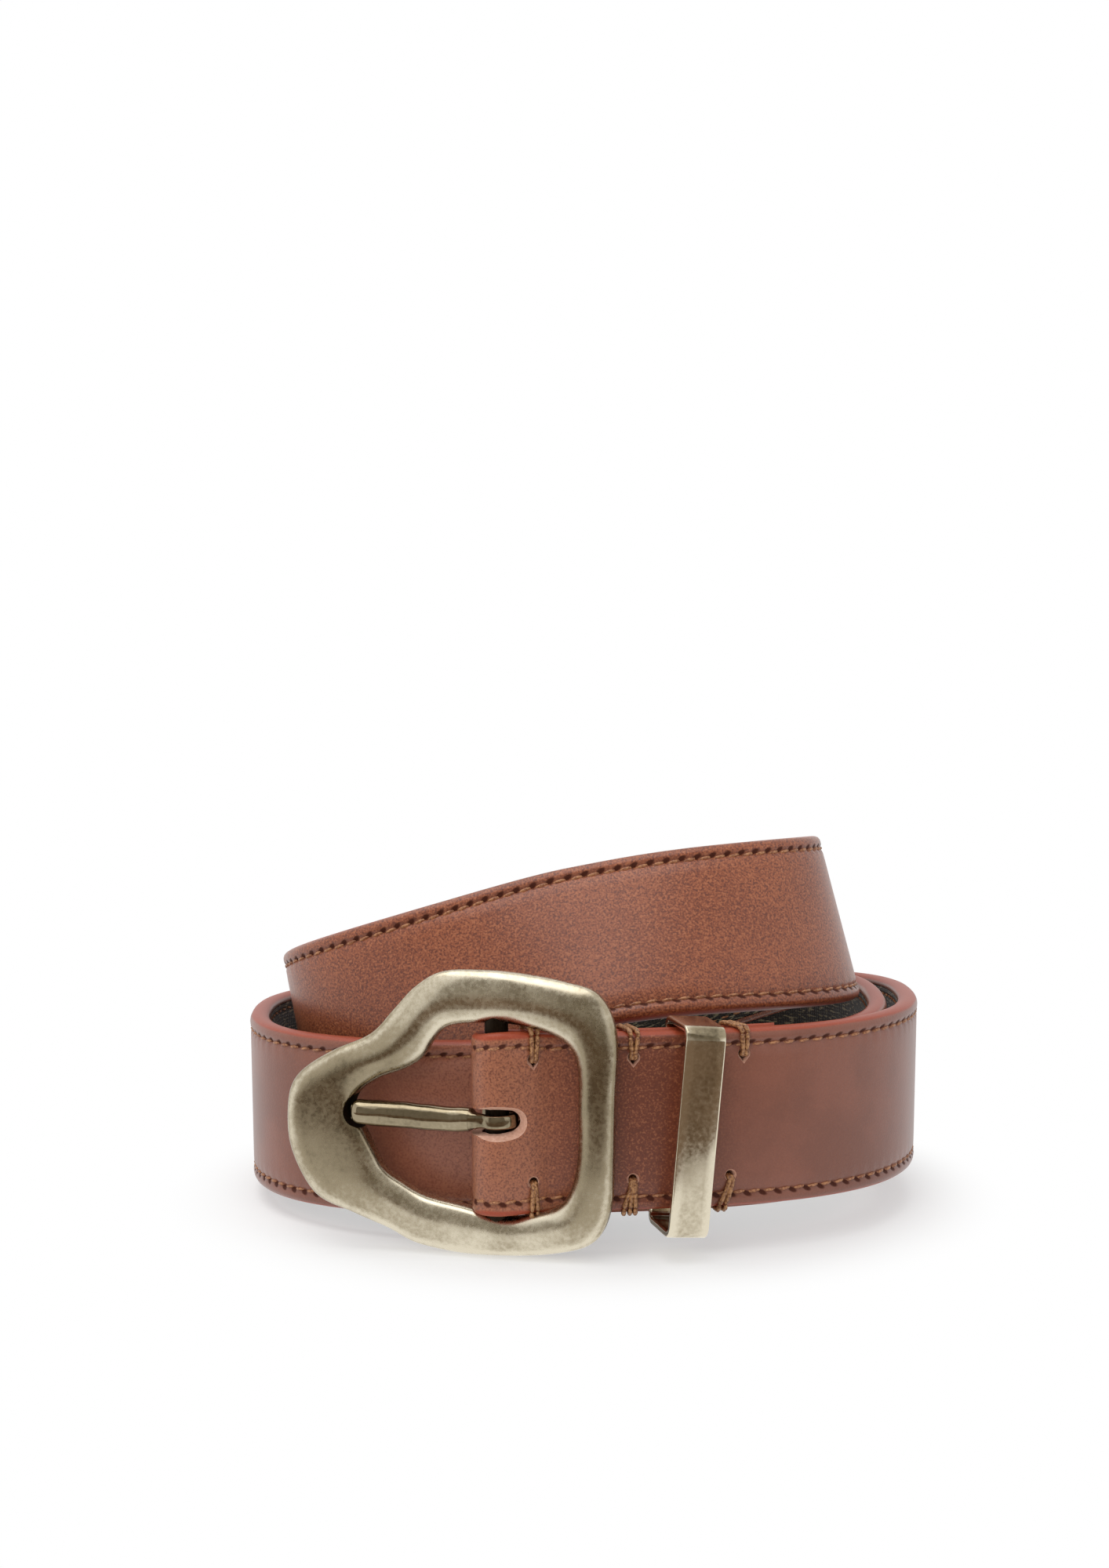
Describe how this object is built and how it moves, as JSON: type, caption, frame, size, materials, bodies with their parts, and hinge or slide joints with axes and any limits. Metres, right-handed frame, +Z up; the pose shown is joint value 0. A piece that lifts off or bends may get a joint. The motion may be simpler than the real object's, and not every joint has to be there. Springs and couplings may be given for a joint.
{
  "type": "leather belt",
  "caption": "Coiled leather belt standing on its edge, with a cast brass centre-bar buckle, a swinging prong, a brass keeper loop and thread lashings.",
  "frame": {"origin": "middle of the footprint's box, on the surface that the coiled belt stands on", "axes": "+Z up across the strap's width, +X along the coil's longer side to the right of a viewer who faces the buckle, -Y towards that viewer"},
  "size_m": [0.1394, 0.1232, 0.0759],
  "materials": {
    "tan_leather": "fine grained, semi-matt, with painted edges",
    "lining_fabric": "coarse matt weave",
    "waxed_thread": "waxed",
    "antique_brass": "antiqued satin, worn bright on its edges"
  },
  "bodies": {
    "strap": {"strap_leather": "tan_leather", "strap_lining": "lining_fabric", "lashing_1_top": "waxed_thread", "lashing_1_bottom": "waxed_thread", "lashing_2_top": "waxed_thread", "lashing_2_bottom": "waxed_thread", "lashing_3_top": "waxed_thread", "lashing_3_bottom": "waxed_thread"},
    "buckle": {"buckle_frame": "antique_brass", "centre_bar": "antique_brass"},
    "prong": {"prong": "antique_brass"},
    "keeper": {"keeper": "antique_brass"}
  },
  "joints": [
    {"name": "buckle_swing", "type": "hinge", "parent": "strap", "child": "buckle", "pos_m": [-0.01639, -0.05369, 0.02653], "axis": [0, 0, 1], "range_deg": [-7, 1]},
    {"name": "prong_swing", "type": "hinge", "parent": "buckle", "child": "prong", "pos_m": [-0.01639, -0.05369, 0.02653], "axis": [0, 0, 1], "range_deg": [0, 90]},
    {"name": "keeper_slide", "type": "slide", "parent": "strap", "child": "keeper", "axis": [0.9859, 0.1675, 0.0031], "range_m": [-0.002, 0.002]}
  ]
}
